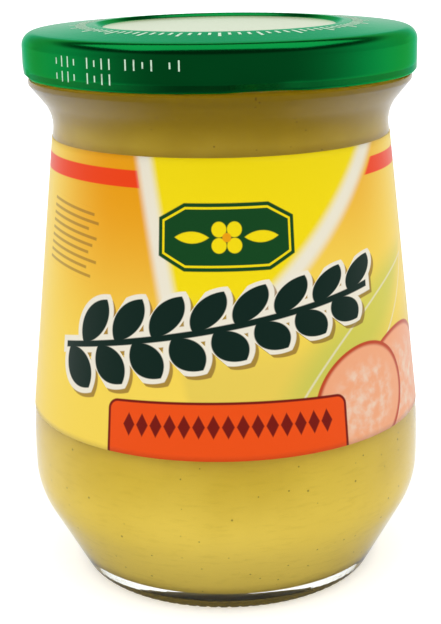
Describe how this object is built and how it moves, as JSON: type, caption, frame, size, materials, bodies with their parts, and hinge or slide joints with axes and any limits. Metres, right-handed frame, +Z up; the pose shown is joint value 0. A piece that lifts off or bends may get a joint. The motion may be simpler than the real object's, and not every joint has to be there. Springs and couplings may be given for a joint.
{
  "type": "mustard jar",
  "caption": "Round glass food jar with a tapered body, a twist-off metal lid, a wrap-round paper label and a mustard filling.",
  "frame": {"origin": "centre of the ring that the jar stands on", "axes": "+Z up along the jar's axis, the front of the label faces -Y"},
  "size_m": [0.072, 0.072, 0.1001],
  "materials": {
    "clear_glass": "smooth, clear, with a faint green tint in the thick base",
    "mustard_paste": "smooth olive-yellow paste with a few fine dark specks, seen through the glass",
    "green_enamel": "glossy green enamel on pressed tinplate",
    "seal_compound": "soft off-white sealing compound, not seen with the lid on",
    "printed_paper": "semi-gloss printed paper label in yellow, orange, red and green"
  },
  "bodies": {
    "root": {"glass_jar": "clear_glass", "mustard": "mustard_paste", "lid": "green_enamel", "lid_seal": "seal_compound", "label": "printed_paper"}
  },
  "joints": []
}
